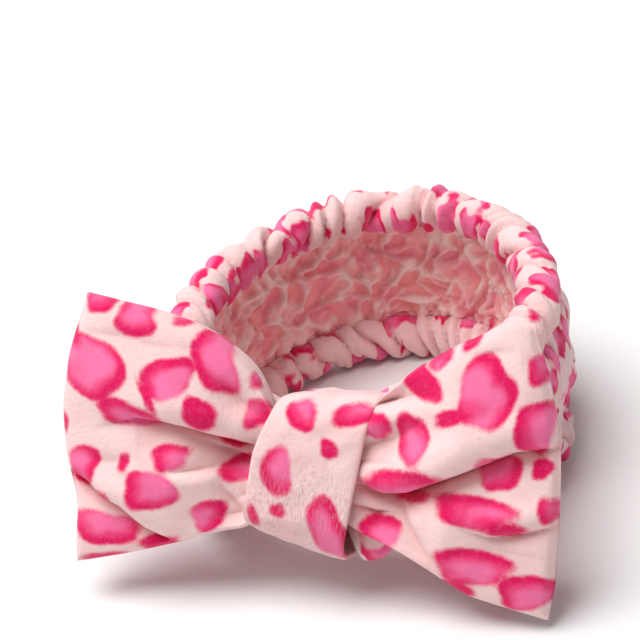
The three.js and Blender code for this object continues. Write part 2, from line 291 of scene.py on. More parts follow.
def plushFinish(name, look):
    f = Finish(name, Roughness=0.95, Sheen_Weight=0.22, Sheen_Roughness=0.5)
    f.shader.inputs["Sheen Tint"].default_value = tint(1, 0.85, 0.88)
    f.shader.inputs["Specular IOR Level"].default_value = 0.2
    f.shader.inputs["Subsurface Weight"].default_value = 0.1
    f.shader.inputs["Subsurface Radius"].default_value = (1.0, 0.4, 0.4)
    f.shader.inputs["Subsurface Scale"].default_value = 0.003
    pile = f.noise(1500, detail=3, rough=0.6)
    tufts = f.noise(420, detail=3, rough=0.6)
    cloudy = f.noise(70, detail=2)
    ragged = (pile - 0.5) * 1.0 + (tufts - 0.5) * 1.5
    spot = (f.field("spot") + ragged).between(-1.2, 1.2)
    edge = f.field("rim")
    rim = (edge + ragged * 0.8).between(-2.0, 1.0)
    faded = (edge * -1 + (cloudy - 0.5) * 7).between(0.5, 5)  # paler away from the dark rim
    ground = f.mix(cloudy.between(0.35, 0.75) * 0.5, look["ground"], look["groundWarm"])
    inside = f.mix(faded, look["spot"], look["spotLight"])
    colour = f.mix(spot, ground, inside)
    colour = f.mix(rim * spot, colour, look["rim"])
    # painted highlight on the pile's tips, which catch light, and painted shade that darkens its roots a
    # little
    colour = f.mix(pile.between(0.5, 0.8) * 0.07, colour, tint(1, 0.85, 0.87))
    colour = f.mix(tufts.between(0.5, 0.25) * 0.12, colour, tint(0.7, 0.25, 0.33))
    # painted shade: cloth deep in a fold is darkened and tinted pink in its colour, for the light that
    # other pink cloth passes on there
    colour = f.mix(f.field("deep").between(0, 1) * 0.75, colour, look["fold"], blend="MULTIPLY")
    rounded = f.bump(tufts, 0.4, 0.0011)
    fibres = f.bump(pile, 0.45, 0.0005, rounded)
    # where the pile is brushed up it stands in strands that shade one another
    along = {"Vector": f.place(), "Rotation": (-lean, 0.12, 0), "Scale": (1, 1, 3.6)}
    drawnOut = f.node("ShaderNodeMapping", {"vector_type": "TEXTURE"}, along)
    strands = f.noise(1150, detail=3, place=drawnOut)
    # painted shade: where the pile is brushed up, on the knot's lower part, grey streaks darken its
    # colour as if its strands shade one another; the same strands bump the surface
    brushedPileShade = f.field("brushedPileShade")
    colour = f.mix(strands.between(0.56, 0.36) * brushedPileShade * 0.3, colour, tint(0.55, 0.29, 0.33))
    fibres = f.bump(strands * brushedPileShade, 0.7, 0.0012, fibres)
    return f.feed(Base_Color=colour, Normal=fibres)


liningLook = {
    "valleyShade": tint(1.0, 0.34, 0.34),
    "ridgeHighlight": tint(1.0, 0.74, 0.67),
    "print": tint(0.93, 0.17, 0.31),
}


def liningFinish(name, look):
    f = Finish(name, Roughness=0.4, Sheen_Weight=0.3, Sheen_Roughness=0.3, Specular_IOR_Level=0.55)
    f.shader.inputs["Sheen Tint"].default_value = tint(1, 0.85, 0.82)
    f.shader.inputs["Subsurface Weight"].default_value = 0.15
    f.shader.inputs["Subsurface Radius"].default_value = (1.0, 0.4, 0.35)
    f.shader.inputs["Subsurface Scale"].default_value = 0.003
    knit = f.noise(2200, detail=2)
    soft = f.noise(110, detail=3)
    shows = (f.field("spot") + (soft - 0.5) * 3).between(-1.2, 1.6)
    # painted highlight on the crinkles' ridges and painted shade in their valleys, by the crinkle height
    lit = (f.field("raised") + (soft - 0.5) * 0.4).between(0.1, 0.95)
    colour = f.mix(lit, look["valleyShade"], look["ridgeHighlight"])
    colour = f.mix(shows * 0.35, colour, look["print"])
    return f.feed(Base_Color=colour, Normal=f.bump(knit, 0.25, 0.0003))


def threadFinish(name, colour, dark):
    f = Finish(name, Roughness=0.6, Sheen_Weight=0.2)
    fibre = f.noise(2600, detail=2)
    shade = f.mix(fibre.between(0.3, 0.7), dark, colour)
    return f.feed(Base_Color=shade, Normal=f.bump(fibre, 0.3, 0.0002))


def elasticFinish(name):
    f = Finish(name, Roughness=0.75)
    weave = f.noise(1800, detail=2)
    return f.feed(
        Base_Color=f.mix(weave.between(0.35, 0.65), tint(0.74, 0.72, 0.7), tint(0.93, 0.92, 0.9)),
        Normal=f.bump(weave, 0.4, 0.0003),
    )


plushCloth = plushFinish("printed_plush", plushLook)
liningCloth = liningFinish("satin_lining", liningLook)
pinkThread = threadFinish("pink_thread", tint(0.93, 0.6, 0.66), tint(0.75, 0.36, 0.45))
whiteElastic = elasticFinish("woven_elastic")
print("finishes")

# ---- print

# A spot is (across, up, width, height, turn, rim): rim is the side its dark edge is on, in degrees, and
# None makes it dark all over. Millimetres on the cloth.


def paintSpots(across, up, spots, seed=1):
    # signed distances, in millimetres: inside a spot, and inside its dark rim
    draw = np.random.default_rng(seed)
    spot = np.full(across.shape, -5.0)
    rim = np.full(across.shape, -5.0)
    for x, y, width, height, turn, rimSide in spots:
        wobble = draw.uniform(0, 2 * np.pi, 3)
        c, s = math.cos(math.radians(turn)), math.sin(math.radians(turn))
        p = ((across - x) * c + (up - y) * s) / (width / 2)
        q = ((up - y) * c - (across - x) * s) / (height / 2)
        size = min(width, height) / 2

        def inside(p, q):
            angle = np.arctan2(q, p)
            edge = 1 + 0.09 * np.sin(2 * angle + wobble[0]) + 0.08 * np.sin(3 * angle + wobble[1])
            edge += 0.04 * np.sin(5 * angle + wobble[2])
            return (edge - (np.abs(p) ** 2.5 + np.abs(q) ** 2.5) ** 0.4) * size

        outer = inside(p, q)
        if rimSide is None:
            spot, rim = np.maximum(spot, outer), np.maximum(rim, outer)
            continue
        side = math.radians(rimSide - turn)
        shift = min(0.42, 1.9 / size + 0.08)
        inner = inside((p + shift * math.cos(side)) / 0.95, (q + shift * math.sin(side)) / 0.95)
        spot = np.maximum(spot, outer)
        rim = np.where(inner > 0.4, np.minimum(rim, -inner), rim)
        rim = np.maximum(rim, np.minimum(outer, -inner))
    return {"spot": np.clip(spot, -5, 5), "rim": np.clip(rim, -5, 5)}


def scatterSpots(seed, width, height, pitch, large=20, wraps=True):
    # spots of mixed sizes over a length of cloth that may join up end to end
    draw = np.random.default_rng(seed)
    spots = []
    columns = max(1, round(width / pitch))
    rows = max(1, math.ceil(height / pitch) + 1)
    for i in range(columns):
        for j in range(rows):
            x = (i + 0.5 * (j % 2) + draw.uniform(-0.22, 0.22)) * width / columns
            y = (j + draw.uniform(-0.2, 0.2)) * pitch - height / 2 - pitch / 4
            small = draw.random() < 0.3
            w = draw.uniform(5, 9) if small else draw.uniform(0.62, 1) * large
            h = w * draw.uniform(0.65, 1)
            spot = (x, y, w, h, draw.uniform(0, 180), None if small else draw.uniform(0, 360))
            for turn in (-1, 0, 1) if wraps else (0,):
                spots.append((x + turn * width, *spot[1:]))
    return spots


# ---- the ring

ring = {
    "halfWidth": 80,
    "frontTaper": 0.24,
    "frontFlat": 1.35,
    "height": 86,
    "waistHeight": 58,
    "waistSquash": 0.8,
    "openAngle": 25,
    "levelAngle": 75,
    "behindBow": 14.5,  # from the bow's middle line to the ring's line
    "pinch": 0.8,  # how much of its height is left inside the knot
    "tubeDepth": 8.7,  # half sizes of the hem tube
    "tubeHeight": 9.4,
    "tubeCentre": -0.6,
    "hemEdge": 297,  # degrees round the tube to its stitched edge
    "thickness": 1.2,
    "stations": 420,
    "puffs": {"top": 35, "bottom": 46},  # gathers round each hem
    "puffDepth": 5.2,
    "puffSlant": 0.03,
    "fullness": 1.75,  # cloth length over ring length
    # a lump of slack cloth hangs out under the bow, beside the knot
    "slack": {"where": 18.5, "left": 7, "right": 10, "down": 14, "puff": 4.5, "forward": 6},
}
ringFront = bowMiddle - bowOut * ring["behindBow"]
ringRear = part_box("plush_rear")[1].y / mm - ring["tubeCentre"] - ring["tubeDepth"] - 0.5


def ringLine(t):
    front = (1 + np.cos(t)) / 2
    x = ring["halfWidth"] * np.sin(t) * (1 - ring["frontTaper"] * front**2)
    return x, ringFront[1] + (ringRear - ringFront[1]) * (1 - front) ** ring["frontFlat"]


def evenStations(count):
    # angles spaced evenly along the ring, and the ring's length
    t = np.linspace(0, 2 * np.pi, 6001)
    x, y = ringLine(t)
    run = np.concatenate([[0], np.cumsum(np.hypot(np.diff(x), np.diff(y)))])
    return np.interp(np.arange(count) / count * run[-1], run, t), run[-1]


def ringFrame(t):
    # the line, the outward direction, tilt, height, squash and level at each angle
    x, y = ringLine(t)
    x1, y1 = ringLine(t + 1e-3)
    x0, y0 = ringLine(t - 1e-3)
    length = np.hypot(x1 - x0, y1 - y0)
    out = ((y1 - y0) / length, -(x1 - x0) / length)
    fromFront = np.abs(np.arctan2(np.sin(t), np.cos(t)))
    opened = smooth(fromFront, math.radians(ring["openAngle"]), math.radians(ring["levelAngle"]))
    return {
        "x": x, "y": y, "out": out, "opened": opened,
        "tilt": lean * (1 - opened),
        "height": ring["waistHeight"] + (ring["height"] - ring["waistHeight"]) * opened,
        "squash": ring["waistSquash"] + (1 - ring["waistSquash"]) * opened,
        "level": ringFront[2] + (ring["height"] / 2 - ringFront[2]) * opened,
    }


def onRing(at, r, h):
    across = r * at["squash"] * np.cos(at["tilt"]) - h * np.sin(at["tilt"])
    up = r * at["squash"] * np.sin(at["tilt"]) + h * np.cos(at["tilt"])
    x = at["x"] + at["out"][0] * across
    y = at["y"] + at["out"][1] * across
    return np.stack(np.broadcast_arrays(x, y, at["level"] + up), -1)


lining = {
    "line": 4.2,  # from the ring's line
    "edgeLine": 2.8,
    "tuck": 4,  # how far its edges go under the hems
    "crinkle": 3.9,
    "thickness": 0.5,
    "stations": 460,
    "rows": 64,
}


def sectionLine(height):
    # the plush's outer side, half way round: hem edge, tube, wall, tube, hem edge
    turns = np.radians(np.linspace(ring["hemEdge"], 0, 40))
    centre = height / 2 - ring["tubeHeight"]
    r = ring["tubeCentre"] + ring["tubeDepth"] * np.cos(turns)
    h = centre + ring["tubeHeight"] * np.sin(turns)
    drop = np.linspace(1, -1, 46)[1:-1]
    # the hem seams draw the wall in, and it fills out between them
    seam = height / 2 - 2 * ring["tubeHeight"]
    wallH = drop * centre
    groove = 2.6 * np.exp(-(((np.abs(wallH) - seam) / 3.4) ** 2))
    wallR = ring["tubeCentre"] + ring["tubeDepth"] - groove + 3.4 * np.cos(drop * np.pi / 2) ** 2
    r = np.concatenate([r, wallR, r[::-1]])
    h = np.concatenate([h, wallH, -h[::-1]])
    return r, h


def gathers(seed, at, along, run, edge):
    # creases that wander across the cloth, with full puffs between them, and where the cloth slips along
    places = np.stack(np.broadcast_arrays(at["x"], at["y"], run), -1)
    drawn = places * np.array([1, 1, 0.45])  # the creases run mostly straight across the hem
    sway = 0.5 * ripple(seed, drawn, 55) + 0.22 * ripple(seed + 1, drawn, 19)
    slant = ring["puffSlant"] if edge == "top" else -ring["puffSlant"]
    phase = ring["puffs"][edge] * along + slant * run + sway
    puff = np.abs(np.sin(np.pi * phase)) ** 0.5
    second = 1.7 * phase + 0.5 * ripple(seed + 2, drawn, 30)
    finer = np.abs(np.sin(np.pi * second)) ** 0.6
    keep = smooth(ripple(seed + 3, places, 26), -0.3, 0.8)
    uneven = 1 + 0.35 * ripple(seed + 4, places, 32)
    return (puff - 0.76) * uneven + 0.42 * keep * (finer - 0.75), np.sin(2 * np.pi * phase)


def stationsOf(count):
    # the ring's frame as columns, how far round each station is, and the ring's length
    t, length = evenStations(count)
    at = {k: (v if k == "out" else v[:, None]) for k, v in ringFrame(t).items()}
    at["out"] = tuple(o[:, None] for o in at["out"])
    return at, (np.arange(count) / count)[:, None], length


def fromFront(at):
    # how far each station is from the middle of the bow, along x, on the front half
    return np.where(at["y"] < 20, at["x"], 99)


def slackAt(at, h):
    # how much of the slack lump there is
    lump = ring["slack"]
    aside = fromFront(at) - lump["where"]
    wide = np.where(aside < 0, lump["left"], lump["right"])
    return np.exp(-(np.abs(aside / wide) ** 2.6)) * smooth(-h, 4, 26)


def pinched(at, h):
    # the band is squeezed inside the knot
    squeeze = 1 - (1 - ring["pinch"]) * (1 - smooth(np.abs(fromFront(at)), 18, 36))
    return h * squeeze - ring["slack"]["down"] * slackAt(at, h)


def plushSections(at, along):
    # the section at each station, its outward direction, and how far round the cloth each point is
    sections = [sectionLine(h) for h in at["height"][:, 0]]
    r = np.array([s[0] for s in sections])
    h = np.array([s[1] for s in sections])
    gapR, gapH = np.gradient(r, axis=1), np.gradient(h, axis=1)
    size = np.hypot(gapR, gapH)
    run = np.cumsum(np.hypot(np.diff(r), np.diff(h)), axis=1)
    run = np.concatenate([0 * along, run], 1)
    run -= run[:, -1:] / 2  # 0 in the middle of the wall, positive towards the bottom hem
    return r, h, -gapH / size, gapR / size, run


def plushRelief(at, along, run, r):
    # how far the cloth stands out of its section, how full its gathers are, and how far it slips along
    edge = np.abs(run)
    hemTube = smooth(edge, 18, 32)
    upper, upperSlip = gathers(5, at, along, run, "top")
    lower, lowerSlip = gathers(17, at, along, run, "bottom")
    share = smooth(run, -12, 12)
    fold = upper * (1 - share) + lower * share
    slip = upperSlip * (1 - share) + lowerSlip * share
    places = np.stack(np.broadcast_arrays(at["x"], at["y"], run), -1)
    lively = 0.35 + 0.65 * at["opened"]
    push = ring["puffDepth"] * fold * lively * (0.5 + 0.5 * hemTube)
    push = push + (2.4 * (1 - hemTube) * ripple(33, places, 34) + 0.8 * ripple(32, places, 48)) * lively
    push = push + 0.35 * ripple(31, places, 14) * lively
    hem = smooth(edge, edge.max() - 5, edge.max())  # the stitched edge lies down on the lining
    push = push * (1 - 0.7 * hem) * smooth(np.abs(fromFront(at)), 12, 26) + 0 * run
    # the wall stays clear of the lining behind it
    push = np.where(edge < 24, np.maximum(push, lining["line"] + 2 - r), push)
    return push, fold, slip * hemTube


def bothFaces(values):
    # from the outer face's points to those of the outer and the inner face
    return np.concatenate([values, values[:, ::-2]], 1)


def ringPlush():
    at, along, length = stationsOf(ring["stations"])
    r, h, outR, outH, run = plushSections(at, along)
    push, fold, slip = plushRelief(at, along, run, r)
    push = push + ring["slack"]["puff"] * slackAt(at, h)
    r = r + ring["slack"]["forward"] * slackAt(at, h) * smooth(-h, 14, 29)
    h = pinched(at, h)
    outer = onRing(at, r + outR * push, h + outH * push)
    # the inner face lies under the lowest cloth nearby, so that no crease cuts through it
    lowest = np.minimum(push, np.minimum(np.roll(push, 1, 0), np.roll(push, -1, 0)))
    lowest[:, 1:-1] = np.minimum(lowest[:, 1:-1], np.minimum(push[:, :-2], push[:, 2:]))
    under = lowest - ring["thickness"]
    inner = onRing(at, r + outR * under, h + outH * under)[:, ::-2]
    # it rests on the floor, which flattens it
    outer[..., 2] = np.maximum(outer[..., 2], 0.1)
    inner[..., 2] = np.maximum(inner[..., 2], 0.9)
    points = np.concatenate([outer, inner], 1)
    clothLength = length * ring["fullness"]
    cloth = bothFaces(along * clothLength + 2.6 * slip)
    spots = scatterSpots(41, clothLength, float(np.ptp(run)), 24, large=24)
    spots.append((46, 36, 26, 20, 20, 90))  # on the slack lump
    fields = paintSpots(cloth, bothFaces(run), spots, 42)
    # gathering breaks the spots up
    onCloth = np.stack([cloth, bothFaces(run)], -1)
    fields["spot"] = fields["spot"] - 0.5 + 1.9 * ripple(43, onCloth, 9)
    fields["rim"] = fields["rim"] + 1.2 * ripple(44, onCloth, 12)
    # painted shade: colour darkened and tinted pink in the gathers' creases and along the grooves by the
    # hems
    groove = np.exp(-(((np.abs(run) - 20) / 4) ** 2)) * 0.35
    fields["deep"] = bothFaces(np.clip(-fold * 1.3 + groove, 0, 1))
    faces = gridFaces(ring["stations"], points.shape[1], closeColumns=True, closeRows=True)
    piece = meshPiece("ring_plush", points, faces, plushCloth, fields)
    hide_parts("plush_front", "plush_left", "plush_right", "plush_rear")
    return piece


def ringLining():
    at, along, length = stationsOf(lining["stations"])
    share = np.linspace(1, -1, lining["rows"])[None, :]
    h = share * (at["height"] / 2 - 2 * ring["tubeHeight"] + lining["tuck"])
    places = np.stack(np.broadcast_arrays(at["x"], at["y"], h), -1)
    warp = np.stack([ripple(s, places, 26) for s in (51, 52, 53)], -1)
    bent = places + 5.5 * warp
    broad = np.exp(-((ripple(54, bent, 16) / 0.5) ** 2))
    narrow = np.exp(-((ripple(55, bent + 2 * warp, 10) / 0.45) ** 2))
    pleatPhase = ring["puffs"]["top"] * 1.5 * along + 0.7 * ripple(56, places, 30)
    pleats = np.abs(np.sin(np.pi * pleatPhase)) ** 0.7
    nearHem = smooth(np.abs(share), 0.45, 0.9)
    height = 0.6 * broad + 0.42 * narrow + 0.16 * ripple(57, bent, 9)
    height = np.clip(height, 0, 1.1) * (1 - 0.45 * nearHem) + 0.5 * pleats * nearHem
    edge = smooth(np.abs(share), 0.84, 1)
    height = height * (1 - edge) * (0.2 + 0.8 * at["opened"])
    r = lining["line"] + (lining["edgeLine"] - lining["line"]) * edge - lining["crinkle"] * height
    h = pinched(at, h)
    front = onRing(at, r, h)
    back = onRing(at, r + lining["thickness"], h)[:, ::-2]
    points = np.concatenate([front, back], 1)
    cloth = along * length * 1.2 + 0 * h
    spots = scatterSpots(61, length * 1.2, float(np.ptp(h)), 20, large=19)
    fields = paintSpots(bothFaces(cloth), bothFaces(h + 0 * cloth), spots, 62)
    # the crinkle height, also the mask for the lining's painted highlight and shade
    fields["raised"] = bothFaces(height)
    faces = gridFaces(lining["stations"], points.shape[1], closeColumns=True, closeRows=True)
    piece = meshPiece("ring_lining", points, faces, liningCloth, fields)
    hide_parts("lining_front", "lining_left", "lining_right", "lining_rear")
    return piece


def stretches(piece):
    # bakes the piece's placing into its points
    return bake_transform(piece)


stretches(ringPlush())
stretches(ringLining())
print("ring")

# ---- elastics inside the hems

elastic = {"width": 8.5, "thickness": 1.1, "inset": 2.4, "ribs": 5, "stations": 260, "openAngle": 30}


def hemElastic(edge, side):
    ends = math.radians(elastic["openAngle"])
    t = np.linspace(ends, 2 * np.pi - ends, elastic["stations"])
    at = {k: (v if k == "out" else v[:, None]) for k, v in ringFrame(t).items()}
    at["out"] = tuple(o[:, None] for o in at["out"])
    across = np.linspace(-0.5, 0.5, 2 * elastic["ribs"] + 1)[None, :]
    rib = 0.16 * np.cos(across * elastic["ribs"] * 2 * np.pi) + 0.1 * np.sin(t * 260)[:, None]
    face = elastic["thickness"] / 2 + rib
    line = ring["tubeCentre"] - ring["tubeDepth"] + ring["puffDepth"] + elastic["inset"]
    h = side * (at["height"] / 2 - ring["tubeHeight"]) + across * elastic["width"]
    points = np.concatenate([onRing(at, line - face, h), onRing(at, line + face, h)[:, ::-1]], 1)
    rows = points.shape[1]
    faces = gridFaces(len(t), rows, closeRows=True)
    faces.append(list(range(rows)))
    faces.append([(len(t) - 1) * rows + j for j in range(rows)][::-1])
    piece = meshPiece(edge + "_elastic_web", points, faces, whiteElastic)
    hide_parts(edge + "_elastic")
    return stretches(piece)


for edge, side in (("top", 1), ("bottom", -1)):
    hemElastic(edge, side)
print("elastics")

# ---- stitches

stitch = {
    "length": 3.4,
    "gap": 1.4,
    "radius": 0.42,
    "sides": 7,
    "seamLength": 505,
    "openAngle": 30,  # the seams stop this far short of the bow's middle
}


def stitchRow(name, ends, finish, radius=None, lift=None):
    # rounded stitches between pairs of points; each dips into the cloth at its ends
    radius = radius or stitch["radius"]
    rings = [(0.0, 0.25), (0.08, 0.75), (0.25, 1.0), (0.5, 1.05), (0.75, 1.0), (0.92, 0.75), (1.0, 0.25)]
    points, faces = [], []
    for a, b, out in ends:
        way = (b - a) / np.linalg.norm(b - a)
        side = np.cross(way, out)
        side /= np.linalg.norm(side)
        start = len(points)
        for share, fat in rings:
            centre = a + (b - a) * share + out * (lift or radius) * math.sin(math.pi * share)
            for k in range(stitch["sides"]):
                turn = 2 * math.pi * k / stitch["sides"]
                points.append(centre + radius * fat * (math.cos(turn) * side + math.sin(turn) * out))
        n = stitch["sides"]
        faces += [[start + f for f in face] for face in gridFaces(len(rings), n, closeRows=True)]
        faces.append([start + k for k in range(n)][::-1])
        faces.append([start + (len(rings) - 1) * n + k for k in range(n)])
    return meshPiece(name, np.array(points), faces, finish)


def hemStitches(edge, side):
    # the row that closes a hem, seen on the lining beside the hem's edge
    t, _ = evenStations(round(stitch["seamLength"] / (stitch["length"] + stitch["gap"])) * 2)
    keep = np.abs(t - np.pi) < math.pi - math.radians(stitch["openAngle"])
    at = ringFrame(t[keep])
    h = side * (at["height"] / 2 - 2 * ring["tubeHeight"] - 0.9)
    line = onRing(at, 2.0 + 0 * h, h)
    inward = np.stack([-at["out"][0], -at["out"][1], 0 * h], -1)
    ends = [(line[i], line[i + 1], inward[i]) for i in range(0, len(line) - 1, 2)]
    piece = stitchRow(edge + "_hem_stitches", ends, pinkThread)
    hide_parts(edge + "_hem_thread")
    return stretches(piece)


for edge, side in (("top", 1), ("bottom", -1)):
    hemStitches(edge, side)


tack = {"turns": 7, "width": 2.6, "share": 0.8, "thread": 0.3}


def barTack(node):
    # a close zigzag across the elastic's end
    low, high = (np.array(c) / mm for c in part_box(node))
    middle = (low + high) / 2
    out = np.array([middle[0], middle[1] - 20, 0])
    out /= np.linalg.norm(out)
    way = np.cross([0, 0, 1.0], out)
    tall = (high[2] - low[2]) * tack["share"]
    up = np.array([0, 0, 1.0])
    corners = [
        middle + way * (tack["width"] * (k % 2 - 0.5)) + up * tall * (k / tack["turns"] - 0.5)
        for k in range(tack["turns"] + 1)
    ]
    ends = [(a, b, out) for a, b in zip(corners, corners[1:])]
    piece = stitchRow(node + "_stitches", ends, pinkThread, radius=tack["thread"])
    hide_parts(node)
    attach(piece, "root")


for edge in ("top", "bottom"):
    for end in ("left", "right"):
        barTack(f"{edge}_elastic_tack_{end}")
print("stitches")

# ---- the bow

# Outlines are (distance from the middle, up); the outer end is (up, distance from the middle).
# A fold is a path of (distance, up) points. Its lip is the bulge beside it, and over is how far the lip
# hangs. Under puts the lip below, fade says which ends die away, and far keeps the cloth beyond it back.
bow = {
    "left": {
        "side": -1,
        "top": [
            (0, 19), (14, 19.5), (17, 24), (21, 35), (27, 42), (38, 51), (50, 57), (66, 61.5), (97, 68),
        ],
        "bottom": [
            (0, -18), (18, -19), (22, -22), (27, -27.5), (36, -29),
            (44, -31), (58, -35.5), (79, -41), (103, -46),
        ],
        "end": [(-46, 103), (-34, 104), (-20, 102), (-6, 106.5), (19, 109), (45, 105), (68, 96)],
        "crown": 15,
        "folds": [
            {"path": [(8, 3), (24, 8), (35, 11), (50, 15), (62, 17), (72, 18), (83, 15), (96, 11)],
             "depth": 12, "width": 3.2, "lip": 4.5, "over": 3.2, "far": 14},
            {"path": [(8, -3), (24, 1), (31, 3), (37, 5), (44, 8), (54, 10)],
             "depth": 9, "width": 2.2, "lip": 2.8, "over": 1.8},
            {"path": [(60, -5), (47, -4), (35, -2), (27, -1)],
             "depth": 4, "width": 2, "lip": 2, "over": 1.0, "fade": "both", "under": True},
            {"path": [(110, -4), (104, -7), (96, -10), (88, -16), (81, -19),
                      (70, -28), (60, -34), (52, -42)],
             "depth": 9, "width": 2.4, "lip": 2.6, "over": 2.4, "fade": "little", "far": 30},
            {"path": [(37, -6), (35, -12), (30, -18), (24, -24)],
             "depth": 4, "width": 2.6, "lip": 1, "fade": "both"},
            {"path": [(8, -14), (20, -13), (30, -12)],
             "depth": 5, "width": 2.2, "lip": 1},
            {"path": [(8, -21), (22, -20), (36, -22), (46, -26)],
             "depth": 3.4, "width": 2.2, "lip": 1.2},
            {"path": [(12, 18), (24, 22), (33, 29), (42, 40)],
             "depth": 4, "width": 3.4, "lip": 1},
            {"path": [(44, 47), (62, 47), (80, 51), (98, 52)],
             "depth": 2.8, "width": 6, "lip": 0.8, "fade": "both"},
            {"path": [(70, 1), (82, -1), (94, -1), (106, 2)],
             "depth": 2.6, "width": 5, "lip": 0.5, "fade": "both"},
        ],
    },
    "right": {
        "side": 1,
        "top": [
            (0, 19), (22, 19.5), (26, 24), (31, 29.5), (45, 41),
            (62, 51), (71, 54.5), (78, 59), (85, 61.5), (93, 59.5),
        ],
        "bottom": [
            (0, -20), (14, -22), (21, -27), (37, -33.5), (51, -42), (66, -51), (84, -55.5), (99, -59),
        ],
        "end": [(-59, 98), (-50, 101), (-18, 103.5), (14, 103.5), (30, 101), (46, 97), (59.5, 92)],
        "crown": 15,
        "folds": [
            {"path": [(8, -5), (20, -6), (33, -8), (43, -7), (56, -2), (69, 3), (86, 10), (104, 12)],
             "depth": 13, "width": 3.4, "lip": 5, "over": 4.2, "fade": "little", "far": 12},
            {"path": [(8, 3), (22, 3.5), (34, 3), (47, 2)],
             "depth": 4, "width": 2.4, "lip": 2.2, "over": 0.8, "under": True},
            {"path": [(8, 21), (20, 23), (30, 26), (41, 29), (53, 30.5), (66, 30)],
             "depth": 6, "width": 2.6, "lip": 3, "over": 0.4, "under": True, "far": 26},
            {"path": [(8, -13), (18, -14.5), (28, -17.5), (41, -18)],
             "depth": 9, "width": 2.2, "lip": 5, "over": 2.8},
            {"path": [(38, -9), (42, -20), (49, -31), (56, -42)],
             "depth": 4.6, "width": 3, "lip": 1, "fade": "both"},
            {"path": [(8, -24), (18, -26), (27, -29), (40, -33)],
             "depth": 5, "width": 2.2, "lip": 1.5},
            {"path": [(58, -18), (68, -22), (77, -24), (91, -22), (105, -19)],
             "depth": 5.5, "width": 2.6, "lip": 3, "over": 1.8, "fade": "far"},
            {"path": [(60, -33), (74, -29), (88, -31), (101, -34)],
             "depth": 2.4, "width": 5, "lip": 0.5, "fade": "both"},
            {"path": [(12, 9), (24, 10), (36, 13), (47, 19), (57, 25)],
             "depth": 3, "width": 3.4, "lip": 1.2},
            {"path": [(62, 47), (74, 48), (88, 50)],
             "depth": 2.5, "width": 4.5, "lip": 1, "fade": "both"},
        ],
    },
    "seam": 1.6,  # half the thickness at the sewn edges
    "waist": 5.6,  # half the thickness inside the knot
    "insideKnot": 22,
}

bowSpots = {
    "left": [
        (-90, 65, 13, 10, 0, -45), (-73, 58, 18, 14, -5, -95), (-91, 38, 30, 25, -10, -40),
        (-57, 35, 21, 17, 0, 100), (-65, 28, 4, 14, 25, None), (-38, 42, 17, 27, 22, 190),
        (-43, 22, 13, 10, -14, None), (-75, 20, 26, 11, -6, 120), (-96, -2, 15, 14, 0, 10),
        (-77, -1, 4.5, 8, -15, None), (-57, 2, 16, 10, 5, 150), (-65, -12, 21, 17, 0, 205),
        (-42, -22, 15, 12, 20, 20), (-89, -30, 28, 15, -4, -100), (-29, -2, 17, 11, 12, 170),
        (-21, 21, 10, 12, 0, -20), (-65, -35, 18, 7, 18, None), (-91, -43, 18, 4, 8, None),
        (-106, 14, 5, 8, 0, None), (-33, 10, 11, 6, -10, None), (-100, -9, 11, 5, -24, None),
        (-87, -14, 7, 4, -30, None), (-53, 58, 8, 5, 0, -60), (-101, 52, 5, 6, 0, None),
        (-20, 36, 8, 10, 0, 0),
    ],
    "right": [
        (76, 33, 22, 28, -20, 30), (62, 23, 13, 6, 20, None), (46, 14, 14, 19, -8, 120),
        (41, -2, 33, 9, 5, 70), (30, 18, 13, 11, 0, 80), (95, 20, 15, 19, -14, 165),
        (49, 36, 19, 12, -28, None), (80, 2, 17, 16, 0, -25), (71, -14, 33, 12, -9, 140),
        (84, -20, 15, 6, -5, None), (70, -37, 33, 14, -4, 100), (91, -47, 21, 16, 12, 130),
        (97, 3, 8, 8, 0, None), (100, -13, 7, 10, 0, 200), (63, -47, 14, 7, -25, None),
        (96, 42, 8, 12, 10, 220), (68, 53, 9, 6, 30, None), (56, 45, 11, 6, 25, 80),
        (43, -10, 17, 5, 0, None), (31, -25, 18, 12, -22, 140), (22, -31, 9, 10, 0, None),
    ],
}


def nearPath(x, y, path):
    # signed distance to a path, positive above it, and the share of its length at the nearest point
    path = np.array(path, float)
    lengths = np.hypot(*np.diff(path, axis=0).T)
    starts = np.concatenate([[0], np.cumsum(lengths)])
    best, share, sign = np.full(x.shape, 1e9), np.zeros(x.shape), np.ones(x.shape)
    for k, (a, b) in enumerate(zip(path, path[1:])):
        way = b - a
        t = np.clip(((x - a[0]) * way[0] + (y - a[1]) * way[1]) / (way @ way), 0, 1)
        dx, dy = x - a[0] - t * way[0], y - a[1] - t * way[1]
        gap = np.hypot(dx, dy)
        nearer = gap < best
        best = np.where(nearer, gap, best)
        share = np.where(nearer, (starts[k] + t * lengths[k]) / starts[-1], share)
        above = np.sign((way[0] * dy - way[1] * dx) * (1 if way[0] > 0 else -1) + 1e-9)
        sign = np.where(nearer, above, sign)
    return best * sign, share


def softened(pairs, at, reach=3.0):
    # a line through the points, with its corners rounded
    x, y = np.array(pairs, float).T
    spread = np.linspace(-reach, reach, 9)
    return np.mean([np.interp(at + s, x, y) for s in spread], axis=0)


